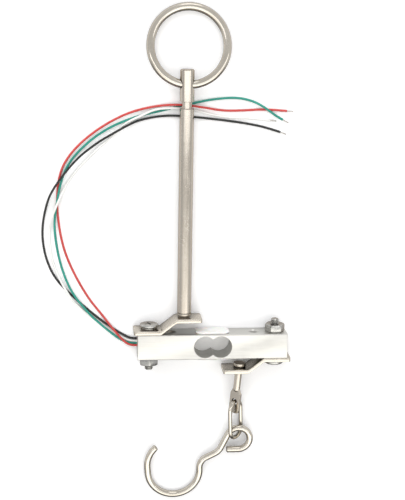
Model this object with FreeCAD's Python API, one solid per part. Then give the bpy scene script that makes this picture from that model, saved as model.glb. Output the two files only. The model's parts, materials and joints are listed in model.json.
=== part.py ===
import FreeCAD, Part
import math
import os

from FreeCAD import Rotation, Vector

# Bar load cell with its hanging hardware, lying on its back face as on a bench.
# +X runs along the bar, +Y along the rod towards the ring, +Z up from the bench.
# Lengths are in millimetres and angles in degrees.

# Bar with twin overlapping bores
bar_length = 75.0
bar_height = 12.7
bar_depth = 12.7
bar_edge_break = 0.3
bore_diameter = 11.0
bore_spacing = 8.0
screw_hole_inset = 5.8
spare_hole_inset = 16.5
spare_hole_diameter = 4.3
channel_width = 4.8
channel_depth = 2.6

# Strain gauges, the covers over them and the potting in the wire channel
gauge_length = 5.0
gauge_width = 3.6
gauge_thickness = 0.2
cover_length = 17.2
cover_width = 10.7
cover_thickness = 0.9
cover_corner_radius = 3.5
cover_edge_radius = 0.4
potting_length = 27.0
potting_recess = 0.25

# Bent strip brackets, one above the bar and one below
bracket_thickness = 2.0
bracket_width = 12.0
bracket_overhang = 2.0
bracket_foot_length = 13.1
bracket_slope_angle = 38.0
bracket_rise = 6.0
bracket_bend_radius = 2.2
bracket_flat_length = 11.7
bracket_corner_radius = 1.2
hanger_setback = 8.7

# Bracket screws and nuts
screw_diameter = 4.17
screw_hole_clearance = 0.16
screw_head_diameter = 9.4
screw_head_height = 2.4
screw_head_rim = 0.5
screw_stub_length = 2.7
screw_tip_chamfer = 0.5
recess_length = 4.6
recess_width = 0.95
recess_depth = 1.2
nut_across_flats = 8.73
nut_thickness = 3.8
nut_chamfer = 0.45
thread_clearance = 0.04

# Suspension rod
rod_diameter = 7.0
rod_length = 122.5
rod_end_chamfer = 0.6
rod_seat_length = 1.1
rod_seat_depth = 0.9
rod_foot_height = 0.75
rod_undercut_length = 0.6
rod_undercut_depth = 0.45
rod_neck_distance = 15.4
rod_neck_length = 3.6
rod_neck_depth = 0.95
tenon_diameter = 4.6
tenon_clearance = 0.04
tenon_head_diameter = 6.0
tenon_head_height = 1.4
tenon_head_rim = 0.35
eye_hole_distance = 7.2
eye_hole_diameter = 5.2

# Hanging ring
ring_mean_radius = 18.5
ring_wire_diameter = 4.0
ring_side_step = 0.9
bench_gap = 0.05

# Swivel pin with a flattened eye
pin_diameter = 3.6
pin_shank_length = 13.4
pin_tip_radius = 1.5
pin_head_diameter = 6.4
pin_head_height = 1.9
pin_head_edge = 0.5
pin_running_gap = 0.08
pin_hole_clearance = 0.45
pin_lean = 5.2
blade_thickness = 1.5
blade_width = 6.0
blade_root_width = 3.2
blade_root_overlap = 1.8
blade_shoulder_length = 2.6
blade_length = 13.0
blade_corner_radius = 1.6
blade_turn = 45.0
blade_eye_setback = 6.0
blade_eye_diameter = 3.4

# Oval link
link_wire_diameter = 2.0
link_bend_radius = 4.3
link_straight = 11.6
link_dip = 6.2
link_side_lean = 2.9

# Hook bent from one wire: eye, shank and bowl
hook_wire_diameter = 3.3
hook_eye_radius = 6.0
hook_eye_turn = 245.0
hook_eye_tail = 5.9
hook_shank_top = 8.2
hook_neck_turn = -38.0
hook_neck_radius = 7.0
hook_shank_middle = 4.9
hook_waist_turn = 68.0
hook_waist_radius = 6.0
hook_bowl_radius = 13.4
hook_bowl_turn = -180.0
hook_point_run = 3.5
hook_point_turn = -53.0
hook_tip_radius = 0.6
hook_eye_side_step = 1.3
hook_eye_drop = 1.0
hook_eye_sink = 0.12

# Signal wires, as (x, y, z) points of their routes on the bench
wire_diameter = 1.1
tip_diameter = 0.5
tip_length = 3.4
wire_arc_share = 0.45
on_bench = 0.6
over_one = 1.85
over_high = 2.2
over_two = 2.9
over_three = 3.1

X_AXIS = Vector(1, 0, 0)
Y_AXIS = Vector(0, 1, 0)
Z_AXIS = Vector(0, 0, 1)

bar_end = bar_length / 2
bar_top = bar_height / 2
mid_depth = bar_depth / 2
screw_x = bar_end - screw_hole_inset
screw_hole_diameter = screw_diameter + 2 * screw_hole_clearance
flat_inner_y = bar_top + bracket_rise
flat_outer_y = flat_inner_y + bracket_thickness

wire_routes = {
    "black": [
        (-bar_end, 1.6, on_bench), (-40.5, 1.6, on_bench), (-44.5, 3.7, on_bench), (-49.0, 6.6, on_bench),
        (-54.5, 10.5, on_bench), (-61.5, 16.4, on_bench), (-70.2, 24.4, on_bench), (-78.5, 33.3, on_bench),
        (-83.0, 44.5, on_bench), (-84.4, 56.5, on_bench), (-82.6, 68.0, on_bench),
        (-79.2, 77.8, over_two), (-67.8, 92.6, over_two), (-57.5, 100.3, on_bench),
        (-51.5, 104.2, over_high), (-43.0, 109.0, over_high), (-36.5, 111.9, on_bench),
        (-24.0, 114.2, on_bench), (-10.3, 113.4, on_bench), (3.0, 112.0, on_bench), (15.5, 110.4, on_bench),
        (26.0, 108.3, on_bench), (32.5, 106.1, on_bench),
    ],
    "green": [
        (-bar_end, -1.0, on_bench), (-41.0, -1.0, on_bench), (-45.5, 0.8, on_bench), (-50.5, 5.0, over_one),
        (-56.0, 9.8, over_one), (-61.2, 14.6, over_one), (-70.6, 26.6, over_one), (-75.8, 41.0, on_bench),
        (-78.2, 56.0, on_bench), (-77.9, 65.5, over_one), (-75.0, 81.5, over_one),
        (-70.6, 91.7, on_bench), (-60.6, 101.9, on_bench), (-50.0, 108.8, on_bench),
        (-38.0, 113.5, on_bench), (-26.0, 116.3, on_bench), (-14.0, 119.2, on_bench),
        (-2.0, 121.9, on_bench), (9.5, 123.0, on_bench), (17.0, 121.8, on_bench),
        (22.6, 119.4, over_one), (27.2, 116.2, over_one), (30.6, 113.8, on_bench), (33.6, 112.2, on_bench),
    ],
    "red": [
        (-bar_end, -1.7, over_one), (-40.9, -1.7, over_one), (-43.9, 0.3, over_one), (-47.0, 3.9, over_one),
        (-50.6, 8.4, over_one), (-55.4, 14.6, on_bench), (-61.5, 22.3, on_bench), (-68.4, 34.5, on_bench),
        (-73.4, 46.5, on_bench), (-75.9, 58.5, on_bench), (-76.9, 70.0, on_bench),
        (-76.3, 81.0, on_bench), (-73.6, 90.4, on_bench), (-66.0, 100.0, on_bench),
        (-54.5, 108.9, on_bench), (-42.1, 115.3, on_bench), (-31.0, 118.2, on_bench),
        (-20.0, 119.6, over_one), (-7.5, 118.5, over_one), (3.5, 116.4, on_bench),
        (14.0, 116.6, on_bench), (25.0, 117.4, on_bench), (35.5, 116.5, on_bench),
    ],
    "white": [
        (-bar_end, 0.3, on_bench), (-40.9, 0.3, on_bench), (-44.6, 2.1, on_bench), (-49.5, 5.2, on_bench),
        (-54.5, 8.7, on_bench), (-59.5, 12.4, on_bench), (-63.5, 15.5, on_bench), (-67.3, 19.2, on_bench),
        (-69.9, 22.2, over_one), (-72.3, 26.2, over_one), (-75.0, 31.3, over_one), (-77.7, 37.0, on_bench),
        (-79.7, 43.7, on_bench), (-80.6, 52.0, on_bench), (-80.4, 58.5, on_bench),
        (-79.2, 65.0, over_three), (-75.5, 73.4, over_three), (-72.9, 78.6, on_bench),
        (-70.6, 82.5, on_bench), (-67.2, 87.2, on_bench), (-62.3, 92.4, on_bench), (-57.0, 97.6, on_bench),
        (-51.6, 102.3, on_bench), (-47.6, 106.0, on_bench), (-44.6, 109.2, on_bench),
        (-41.6, 111.4, over_one), (-36.0, 113.9, over_one), (-32.5, 115.7, over_one),
        (-28.6, 117.1, over_one), (-23.5, 117.7, over_one), (-18.6, 117.6, over_one),
        (-13.8, 117.3, on_bench), (-8.8, 116.4, on_bench), (-3.3, 114.9, on_bench), (3.1, 113.7, on_bench),
        (9.5, 113.2, on_bench), (15.9, 112.9, on_bench), (22.3, 112.5, on_bench), (27.3, 111.9, on_bench),
    ],
}


def block(x_range, y_range, z_range):
    """A box between two values on each axis."""
    sizes = [high - low for low, high in (x_range, y_range, z_range)]
    return Part.makeBox(*sizes, Vector(x_range[0], y_range[0], z_range[0]))


def upright(diameter, y_low, y_high, x=0.0, z=0.0):
    """A cylinder along Y."""
    return Part.makeCylinder(diameter / 2, y_high - y_low, Vector(x, y_low, z), Y_AXIS)


def rounded_slab(x_range, z_range, y_range, radius):
    """A slab that lies across Y, with its four upright corners rounded."""
    slab = block(x_range, y_range, z_range)
    corners = [edge for edge in slab.Edges if abs(edge.tangentAt(0).dot(Y_AXIS)) > 0.9]
    return slab.makeFillet(radius, corners)


def run(length):
    """A straight move of a bent path."""
    return ("run", length)


def bend(angle, radius):
    """A curved move of a bent path, to the left for a positive angle."""
    return ("bend", angle, radius)


def trace(point, heading, moves):
    """The edges of a flat path that starts at a point and follows its moves in turn."""
    edges = []
    for kind, amount, *rest in moves:
        ahead = Rotation(Z_AXIS, heading).multVec(X_AXIS)
        if kind == "run":
            end = point + ahead * amount
            edges.append(Part.LineSegment(point, end).toShape())
        else:
            centre = point + Z_AXIS.cross(ahead) * math.copysign(rest[0], amount)
            spoke = point - centre
            middle = centre + Rotation(Z_AXIS, amount / 2).multVec(spoke)
            end = centre + Rotation(Z_AXIS, amount).multVec(spoke)
            edges.append(Part.Arc(point, middle, end).toShape())
            heading += amount
        point = end
    return edges


def beside(moves, distance):
    """The moves of the parallel path that lies a distance to the left."""
    shifted = []
    for kind, amount, *rest in moves:
        if kind == "run":
            shifted.append(run(amount))
        else:
            shifted.append(bend(amount, rest[0] - math.copysign(distance, amount)))
    return shifted


def swept(path_edges, diameter):
    """A round wire along a path."""
    path = Part.Wire(path_edges)
    first = path_edges[0]
    start = first.valueAt(first.FirstParameter)
    section = Part.Wire(Part.makeCircle(diameter / 2, start, first.tangentAt(first.FirstParameter)))
    return path.makePipeShell([section], True, False)


def load_cell_bar():
    """The spring element: two overlapping bores leave the thin webs that bend under load."""
    bar = block((-bar_end, bar_end), (-bar_top, bar_top), (0, bar_depth))
    long_edges = [edge for edge in bar.Edges if abs(edge.tangentAt(0).dot(X_AXIS)) > 0.9]
    bar = bar.makeChamfer(bar_edge_break, long_edges)
    for side in (-1, 1):
        bore = Part.makeCylinder(bore_diameter / 2, bar_depth, Vector(side * bore_spacing / 2, 0, 0))
        screw_hole = upright(screw_hole_diameter, -bar_top, bar_top, side * screw_x, mid_depth)
        spare_x = side * (bar_end - spare_hole_inset)
        spare_hole = upright(spare_hole_diameter, -bar_top, bar_top, spare_x, mid_depth)
        bar = bar.cut(bore).cut(screw_hole).cut(spare_hole)
    channel_sides = (-channel_width / 2, channel_width / 2)
    channel = block((-bar_end, -bore_spacing / 2), channel_sides, (0, channel_depth))
    return bar.cut(channel).removeSplitter()


def gauge_box(end_side):
    """The place of one strain gauge on the bar's upper face, over the web beside a bore."""
    centre = end_side * bore_spacing / 2
    return block(
        (centre - gauge_length / 2, centre + gauge_length / 2),
        (bar_top, bar_top + gauge_thickness),
        (mid_depth - gauge_width / 2, mid_depth + gauge_width / 2),
    )


def gauge_cover():
    """The moulded pad over two gauges, with its pockets."""
    cover = rounded_slab(
        (-cover_length / 2, cover_length / 2),
        (mid_depth - cover_width / 2, mid_depth + cover_width / 2),
        (bar_top, bar_top + cover_thickness),
        cover_corner_radius,
    )
    upper_edges = [edge for edge in cover.Edges if edge.BoundBox.YMin > bar_top + cover_thickness / 2]
    cover = cover.makeFillet(cover_edge_radius, upper_edges)
    return cover.cut(gauge_box(-1)).cut(gauge_box(1))


def channel_potting():
    """The sealant that holds the wires in the bar's back channel."""
    return block(
        (-bar_end, -bar_end + potting_length),
        (-channel_width / 2, channel_width / 2),
        (potting_recess, channel_depth),
    )


def bracket_moves():
    """The strip's middle line, from its free foot to the end of its raised flat."""
    turn = math.radians(bracket_slope_angle)
    bends_rise = 2 * bracket_bend_radius * (1 - math.cos(turn))
    slope_length = (bracket_rise - bends_rise) / math.sin(turn)
    return [
        run(bracket_foot_length),
        bend(bracket_slope_angle, bracket_bend_radius),
        run(slope_length),
        bend(-bracket_slope_angle, bracket_bend_radius),
        run(bracket_flat_length),
    ]


bracket_start = Vector(-bar_end - bracket_overhang, bar_top + bracket_thickness / 2, 0)
bracket_end = trace(bracket_start, 0, bracket_moves())[-1].lastVertex().Point
hanger_x = bracket_end.x - hanger_setback


def bracket(hanger_hole_diameter):
    """The bent strip on the bar's upper left, with holes for its screw and for what it carries."""
    half = Vector(0, bracket_thickness / 2, 0)
    upper_side = trace(bracket_start + half, 0, beside(bracket_moves(), bracket_thickness / 2))
    lower_side = trace(bracket_start - half, 0, beside(bracket_moves(), -bracket_thickness / 2))
    foot = Part.LineSegment(bracket_start - half, bracket_start + half).toShape()
    free_end = Part.LineSegment(bracket_end - half, bracket_end + half).toShape()
    outline = Part.Wire(Part.__sortEdges__(upper_side + lower_side + [foot, free_end]))
    strip = Part.Face(outline).extrude(Z_AXIS * bracket_width)
    strip.translate(Z_AXIS * (mid_depth - bracket_width / 2))
    plan = rounded_slab(
        (bracket_start.x, bracket_end.x),
        (mid_depth - bracket_width / 2, mid_depth + bracket_width / 2),
        (bar_top, flat_outer_y),
        bracket_corner_radius,
    )
    strip = strip.common(plan)
    strip = strip.cut(upright(screw_hole_diameter, bar_top, flat_outer_y, -screw_x, mid_depth))
    hanger_hole = upright(hanger_hole_diameter, bar_top, flat_outer_y, hanger_x, mid_depth)
    return strip.cut(hanger_hole).removeSplitter()


def domed(diameter, height, rim):
    """A button that stands on the XZ plane: a short rim under a spherical crown."""
    crown = height - rim
    crown_radius = (diameter ** 2 / 4 + crown ** 2) / (2 * crown)
    ball = Part.makeSphere(crown_radius, Vector(0, height - crown_radius, 0))
    return upright(diameter, 0, height).common(ball)


def bracket_screw():
    """The upper left screw, head on the bracket and tip past the nut under the bar."""
    head = domed(screw_head_diameter, screw_head_height, screw_head_rim)
    for turn in (0, 90):
        slot = block(
            (-recess_length / 2, recess_length / 2),
            (screw_head_height - recess_depth, screw_head_height),
            (-recess_width / 2, recess_width / 2),
        )
        slot.rotate(Vector(), Y_AXIS, turn)
        head = head.cut(slot)
    reach = bracket_thickness + bar_height + nut_thickness + screw_stub_length
    shank = upright(screw_diameter, -reach, 0)
    tip = [edge for edge in shank.Edges if edge.BoundBox.YMax < -reach / 2]
    screw = head.fuse(shank.makeChamfer(screw_tip_chamfer, tip)).removeSplitter()
    screw.translate(Vector(-screw_x, bar_top + bracket_thickness, mid_depth))
    return screw


def bracket_nut(turn):
    """The nut under the bar's left end, turned about its axis."""
    corner_radius = nut_across_flats / math.sqrt(3)
    corners = [Rotation(Y_AXIS, 60 * step + turn).multVec(X_AXIS * corner_radius) for step in range(7)]
    prism = Part.Face(Part.makePolygon(corners)).extrude(Y_AXIS * nut_thickness)
    blank = upright(2 * corner_radius, 0, nut_thickness)
    rims = [edge for edge in blank.Edges if edge.Curve.TypeId == "Part::GeomCircle"]
    nut = prism.common(blank.makeChamfer(nut_chamfer, rims))
    nut = nut.cut(upright(screw_diameter + 2 * thread_clearance, 0, nut_thickness))
    nut.translate(Vector(-screw_x, -bar_top - nut_thickness, mid_depth))
    return nut


rod_end_y = flat_outer_y + rod_length
eye_hole_y = rod_end_y - eye_hole_distance


def groove(y_low, length, depth):
    """A ring of material to turn off the rod."""
    around = upright(2 * rod_diameter, y_low, y_low + length, hanger_x, mid_depth)
    return around.cut(upright(rod_diameter - 2 * depth, y_low, y_low + length, hanger_x, mid_depth))


def suspension_rod():
    """The turned rod, riveted to the upper bracket by its tenon and drilled across for the ring."""
    rod = upright(rod_diameter, flat_outer_y, rod_end_y, hanger_x, mid_depth)
    rim = [edge for edge in rod.Edges if edge.BoundBox.YMin > rod_end_y - rod_end_chamfer]
    rod = rod.makeChamfer(rod_end_chamfer, rim)
    rod = rod.cut(groove(flat_outer_y, rod_seat_length, rod_seat_depth))
    foot_top = flat_outer_y + rod_seat_length + rod_foot_height
    rod = rod.cut(groove(foot_top, rod_undercut_length, rod_undercut_depth))
    neck_low = rod_end_y - rod_neck_distance - rod_neck_length
    rod = rod.cut(groove(neck_low, rod_neck_length, rod_neck_depth))
    rivet = domed(tenon_head_diameter, tenon_head_height, tenon_head_rim)
    rivet.rotate(Vector(), X_AXIS, 180)
    rivet.translate(Vector(hanger_x, flat_inner_y, mid_depth))
    tenon = upright(tenon_diameter, flat_inner_y, flat_outer_y, hanger_x, mid_depth)
    rod = rod.fuse([tenon, rivet]).removeSplitter()
    across = Vector(hanger_x - rod_diameter, eye_hole_y, mid_depth)
    return rod.cut(Part.makeCylinder(eye_hole_diameter / 2, 2 * rod_diameter, across, X_AXIS))


def ring_seat(x):
    """How far the ring's middle line lies from the ring's centre, along Y, above a place across the rod."""
    return math.sqrt(ring_mean_radius ** 2 - (x - ring_side_step) ** 2)


def hanging_ring():
    """The closed ring through the rod's eye, tipped so that its far side rests on the bench."""
    crossing = (-rod_diameter / 2, 0.0, rod_diameter / 2)
    depths = [ring_seat(x) for x in crossing]
    seat = (min(depths) + max(depths)) / 2
    drop = mid_depth - ring_wire_diameter / 2 - bench_gap
    tilt = math.degrees(math.asin(drop / (seat + ring_mean_radius)))
    ring = Part.makeTorus(ring_mean_radius, ring_wire_diameter / 2, Vector(ring_side_step, seat, 0))
    ring.rotate(Vector(), X_AXIS, -tilt)
    ring.translate(Vector(hanger_x, eye_hole_y, mid_depth))
    return ring


pin_place = Vector(-hanger_x, -flat_inner_y, mid_depth)
pin_turn = Rotation(Z_AXIS, -pin_lean)
pin_axis = pin_turn.multVec(-Y_AXIS)
blade_end = pin_shank_length - blade_root_overlap + blade_length
blade_eye = pin_place + pin_axis * (blade_end - blade_eye_setback)
blade_normal = pin_turn.multVec(Rotation(Y_AXIS, blade_turn).multVec(-X_AXIS))


def pin_blade():
    """The flattened end of the pin, in the YZ plane: a tapering root, a square body and an eye."""
    root = -pin_shank_length + blade_root_overlap
    shoulder = root - blade_shoulder_length
    end = -blade_end
    outline = [
        Vector(0, root, -blade_root_width / 2),
        Vector(0, shoulder, -blade_width / 2),
        Vector(0, end, -blade_width / 2),
        Vector(0, end, blade_width / 2),
        Vector(0, shoulder, blade_width / 2),
        Vector(0, root, blade_root_width / 2),
        Vector(0, root, -blade_root_width / 2),
    ]
    blade = Part.Face(Part.makePolygon(outline)).extrude(X_AXIS * blade_thickness)
    blade.translate(X_AXIS * (-blade_thickness / 2))
    corners = [
        edge for edge in blade.Edges
        if abs(edge.tangentAt(0).dot(X_AXIS)) > 0.9 and edge.CenterOfMass.y < end + blade_corner_radius
    ]
    blade = blade.makeFillet(blade_corner_radius, corners)
    eye = Vector(-blade_thickness, end + blade_eye_setback, 0)
    return blade.cut(Part.makeCylinder(blade_eye_diameter / 2, 2 * blade_thickness, eye, X_AXIS))


def swivel_pin():
    """The headed pin that turns in the lower bracket, leaning in its loose hole."""
    head_low = pin_head_diameter / 2 * math.tan(math.radians(pin_lean)) + pin_running_gap
    head = upright(pin_head_diameter, head_low, head_low + pin_head_height)
    rims = [edge for edge in head.Edges if edge.Curve.TypeId == "Part::GeomCircle"]
    head = head.makeFillet(pin_head_edge, rims)
    shank = upright(pin_diameter, -pin_shank_length, head_low + pin_head_edge)
    tip = [edge for edge in shank.Edges if edge.BoundBox.YMax < -pin_shank_length / 2]
    shank = shank.makeFillet(pin_tip_radius, tip)
    pin = head.fuse([shank, pin_blade()]).removeSplitter()
    pin.rotate(Vector(), Y_AXIS, blade_turn)
    pin.rotate(Vector(), Z_AXIS, -pin_lean)
    pin.translate(pin_place)
    return pin


link_turn = Rotation(Z_AXIS, link_side_lean).multiply(Rotation(X_AXIS, link_dip))
link_down = link_turn.multVec(-Y_AXIS)
link_across = (blade_normal - link_down * blade_normal.dot(link_down)).normalize()
link_length = link_straight + 2 * link_bend_radius
link_foot = blade_eye + link_down * link_length


def chain_link():
    """The welded oval link: two half rings joined by two straight legs."""
    face_normal = link_across.cross(link_down)
    half_ways = (link_down * link_bend_radius, link_down * (link_bend_radius + link_straight))
    upper_middle, lower_middle = (blade_eye + way for way in half_ways)
    pieces = []
    for middle, turn in ((upper_middle, -180), (lower_middle, 180)):
        start = middle + link_across * link_bend_radius
        section = Part.Face(Part.Wire(Part.makeCircle(link_wire_diameter / 2, start, link_down)))
        pieces.append(section.revolve(middle, face_normal, turn))
    for side in (-1, 1):
        start = upper_middle + link_across * (side * link_bend_radius)
        pieces.append(Part.makeCylinder(link_wire_diameter / 2, link_straight, start, link_down))
    return pieces[0].fuse(pieces[1:]).removeSplitter()


def hook_moves():
    """The bends of the hook's wire, from the cut end of its eye to its point."""
    return [
        run(hook_eye_tail),
        bend(hook_eye_turn, hook_eye_radius),
        run(hook_shank_top),
        bend(hook_neck_turn, hook_neck_radius),
        run(hook_shank_middle),
        bend(hook_waist_turn, hook_waist_radius),
        bend(hook_bowl_turn, hook_bowl_radius),
        run(hook_point_run),
        bend(hook_point_turn, hook_bowl_radius),
    ]


hook_path = trace(Vector(-hook_eye_tail, -hook_eye_radius, 0), 0, hook_moves())
hook_lowest = min(edge.BoundBox.YMin for edge in hook_path)
hook_eye = link_foot + Vector(hook_eye_side_step, -hook_eye_drop, -hook_eye_sink)
hook_lift = hook_eye.z - hook_wire_diameter / 2 - bench_gap
hook_tilt = math.degrees(math.asin(hook_lift / -hook_lowest))
hook_normal = Rotation(X_AXIS, hook_tilt).multVec(Z_AXIS)


def hook():
    """The bent wire hook, its eye round the link's foot and its bowl on the bench."""
    wire = swept(hook_path, hook_wire_diameter)
    eye_end = hook_path[0].valueAt(hook_path[0].FirstParameter)
    point_end = hook_path[-1].valueAt(hook_path[-1].LastParameter)
    ends = [
        edge for edge in wire.Edges
        if edge.Curve.TypeId == "Part::GeomCircle"
        and min(edge.CenterOfMass.distanceToPoint(end) for end in (eye_end, point_end)) < hook_tip_radius
    ]
    wire = wire.makeFillet(hook_tip_radius, ends)
    wire.rotate(Vector(), X_AXIS, hook_tilt)
    wire.translate(hook_eye)
    return wire


def rounded_route(points):
    """Straight runs between points, joined by large tangent arcs, and the arcs' radii."""
    edges = []
    radii = []
    start = points[0]
    for before, corner, after in zip(points, points[1:], points[2:]):
        run_in = corner - before
        run_out = after - corner
        half_turn = run_in.getAngle(run_out) / 2
        reach = wire_arc_share * min(run_in.Length, run_out.Length)
        radius = reach / math.tan(half_turn)
        way_in = run_in.normalize()
        way_out = run_out.normalize()
        inward = (way_out - way_in).normalize()
        first = corner - way_in * reach
        last = corner + way_out * reach
        middle = corner + inward * (radius / math.cos(half_turn) - radius)
        edges.append(Part.LineSegment(start, first).toShape())
        edges.append(Part.Arc(first, middle, last).toShape())
        radii.append(radius)
        start = last
    edges.append(Part.LineSegment(start, points[-1]).toShape())
    return edges, radii


def signal_wire(colour):
    """One insulated wire along its route, and its bare tip."""
    points = [Vector(*place) for place in wire_routes[colour]]
    edges, radii = rounded_route(points)
    length = sum(edge.Length for edge in edges)
    wire = swept(edges, wire_diameter)
    expected = math.pi * wire_diameter ** 2 / 4 * length
    print(f"{colour}: length {length:.1f}, volume ratio {wire.Volume / expected:.4f}")
    print("  radii", " ".join(f"{radius:.1f}" for radius in radii))
    tip = Part.makeCylinder(tip_diameter / 2, tip_length, points[-1], points[-1] - points[-2])
    return wire, tip


def turned_over(shape):
    """The same piece at the other end of the bar, half a turn round about Z."""
    copy = shape.copy()
    copy.rotate(Vector(), Z_AXIS, 180)
    return copy


def all_pieces():
    """Every piece of the load cell and its hardware, by name."""
    pieces = {"load_cell_bar": load_cell_bar(), "wire_channel_potting": channel_potting()}
    pieces["gauge_cover_top"] = gauge_cover()
    pieces["gauge_cover_bottom"] = turned_over(gauge_cover())
    for name, end_side in (("left", -1), ("right", 1)):
        pieces[f"strain_gauge_top_{name}"] = gauge_box(end_side)
        pieces[f"strain_gauge_bottom_{name}"] = turned_over(gauge_box(-end_side))
    pieces["upper_bracket"] = bracket(tenon_diameter + 2 * tenon_clearance)
    pieces["upper_bracket_screw"] = bracket_screw()
    pieces["upper_bracket_nut"] = bracket_nut(90)
    pieces["lower_bracket"] = turned_over(bracket(pin_diameter + 2 * pin_hole_clearance))
    pieces["lower_bracket_screw"] = turned_over(bracket_screw())
    pieces["lower_bracket_nut"] = turned_over(bracket_nut(0))
    pieces["suspension_rod"] = suspension_rod()
    pieces["hanging_ring"] = hanging_ring()
    pieces["swivel_pin"] = swivel_pin()
    pieces["chain_link"] = chain_link()
    pieces["hook"] = hook()
    for colour in wire_routes:
        wire, tip = signal_wire(colour)
        pieces[f"wire_{colour}"] = wire
        pieces[f"wire_tip_{colour}"] = tip
    return pieces


os.makedirs("parts", exist_ok=True)
for name, shape in all_pieces().items():
    shape.exportStep(f"parts/{name}.step")
    print(f"{name}: valid {shape.isValid()}, solids {len(shape.Solids)}, volume {shape.Volume:.2f}")

joint_places = {
    "ring": (Vector(hanger_x, eye_hole_y, mid_depth), X_AXIS),
    "pin": (pin_place, pin_axis),
    "link": (blade_eye, link_across),
    "hook": (hook_eye, hook_normal),
}
for name, (place, axis) in joint_places.items():
    numbers = " ".join(f"{value:.5f}" for value in (*place, *axis))
    print(f"{name} joint, point then axis: {numbers}")
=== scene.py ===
"""Looks of a hanging-scale bar load cell: finishes, wires, threads, floor, light and camera."""

import json
import logging
import math
from contextlib import contextmanager
from dataclasses import dataclass
from enum import Enum
from functools import cache
from typing import Callable, Iterator, Sequence

import bpy
from mathutils import Matrix, Vector


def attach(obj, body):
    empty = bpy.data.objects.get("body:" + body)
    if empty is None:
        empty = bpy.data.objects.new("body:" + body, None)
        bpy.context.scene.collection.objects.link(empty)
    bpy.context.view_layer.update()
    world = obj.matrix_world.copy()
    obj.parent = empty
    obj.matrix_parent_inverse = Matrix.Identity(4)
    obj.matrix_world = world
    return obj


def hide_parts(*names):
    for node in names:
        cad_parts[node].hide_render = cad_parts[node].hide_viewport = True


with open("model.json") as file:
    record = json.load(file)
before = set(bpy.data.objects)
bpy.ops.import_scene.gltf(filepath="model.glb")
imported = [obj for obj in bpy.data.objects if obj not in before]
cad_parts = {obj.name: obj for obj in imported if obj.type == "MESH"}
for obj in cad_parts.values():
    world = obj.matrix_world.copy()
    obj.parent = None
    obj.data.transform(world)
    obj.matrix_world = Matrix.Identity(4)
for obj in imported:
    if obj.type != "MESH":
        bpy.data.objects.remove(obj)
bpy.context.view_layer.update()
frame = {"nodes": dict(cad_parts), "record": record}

LOG = logging.getLogger("load_cell_scene")
Point = tuple[float, float, float]
Colour = tuple[float, float, float]
Piece = bpy.types.Object
Socket = bpy.types.NodeSocket

# lengths and places that several pieces share
MM = 0.001
ORIGIN = (0.0, 0.0, 0.0)
HALF_BAR_MM = 6.35
SPARE_HOLE_MM = 21.0
BRACKET_HOLE_MM = 31.7

# vertices nearer than this become one
COPY_MERGE_M = 1e-6
CUT_MERGE_M = 2e-6
STRAND_MERGE_M = 1e-7
CUT_MERGE_MM = 1e-3
WIND_MERGE_MM = 1e-4

# angles and steps of round and eased shapes
FLAT_DEG = 0.4
SMOOTH_DEG = 32.0
ROUND_STEPS = 64
RIM_SHARP_DEG = 60.0

# heights in millimetres at which one wire passes over others
OVER_ONE = 1.85
LIFTED = 2.2
OVER_TWO = 2.9
OVER_THREE = 3.1

# sockets, shares and limits of the shared surface effects
FLOAT = "NodeSocketFloat"
VECTOR = "NodeSocketVector"
PATTERN = {"Vector": VECTOR, "Scale": FLOAT}
MASK = {"Mask": FLOAT}
FINE_MARKS_SHARE = 0.65
BROAD_MARKS_SCALE = 0.23
MARKS_LIMITS = (0.35, 0.65)
CLOUD_LIMITS = (0.32, 0.68)
EDGE_SAMPLES = 6
EDGE_LIMITS = (0.995, 0.9)
SCUFF_BEND_M = 0.004
SPARSE_SCALE = 0.4
SPARSE_LIMITS = (0.56, 0.66)
SPECK_LIMITS = (0.03, 0.0)
OPENNESS_SAMPLES = 8
# openness limits between which shade is painted into a metal's tight corners
CORNER_SHADE_LIMITS = (0.85, 0.20)


class Body(Enum):
    """The bodies that the pieces ride on."""

    LOAD_CELL = "load_cell"
    RING = "ring"
    SWIVEL = "swivel"
    LINK = "link"
    LOAD_HOOK = "load_hook"


class Grain(Enum):
    """The way that fine tool marks run on a metal piece."""

    ALONG_X = (0.06, 1.0, 1.0)
    ALONG_Y = (1.0, 0.06, 1.0)
    AROUND_Y = (0.12, 1.0, 0.12)
    EVEN = (1.0, 1.0, 1.0)


class Tooling(Enum):
    """What a tool body does to a piece."""

    CUT = "DIFFERENCE"
    TRIM = "INTERSECT"
    FUSE = "UNION"


def metres(point_mm: Sequence[float]) -> Vector:
    """Turns a point in millimetres into metres."""
    return Vector(point_mm) * MM


def placed(data: bpy.types.ID) -> Piece:
    """Puts a new object into the scene, named after the data that it shows.

    Args:
        data: The mesh, curve, lamp or camera.

    Returns:
        The new object.
    """
    piece = bpy.data.objects.new(data.name, data)
    bpy.context.scene.collection.objects.link(piece)
    return piece


def take_none() -> None:
    """Leaves nothing selected, in object mode."""
    if bpy.context.object and bpy.context.object.mode != "OBJECT":
        bpy.ops.object.mode_set(mode="OBJECT")
    bpy.ops.object.select_all(action="DESELECT")


def take_only(piece: Piece) -> None:
    """Makes one piece the only selected and active one.

    Args:
        piece: The object that the next operators act on.
    """
    take_none()
    piece.select_set(True)
    bpy.context.view_layer.objects.active = piece


def fresh(name: str, add: Callable[..., object], **settings: object) -> Piece:
    """Adds a mesh primitive, at the origin unless a location is given.

    Args:
        name: Name of the object and its mesh.
        add: Blender's operator that adds the primitive.
        **settings: Settings of the operator.

    Returns:
        The new mesh object.
    """
    take_none()
    add(**{"location": ORIGIN, **settings})
    piece = bpy.context.object
    piece.name = piece.data.name = name
    return piece


@contextmanager
def shaping(piece: Piece) -> Iterator[None]:
    """Holds a piece in edit mode, all of it selected, while its mesh is shaped.

    Args:
        piece: The mesh object to shape.
    """
    take_only(piece)
    bpy.ops.object.mode_set(mode="EDIT")
    bpy.ops.mesh.select_all(action="SELECT")
    yield
    bpy.ops.object.mode_set(mode="OBJECT")


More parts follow.
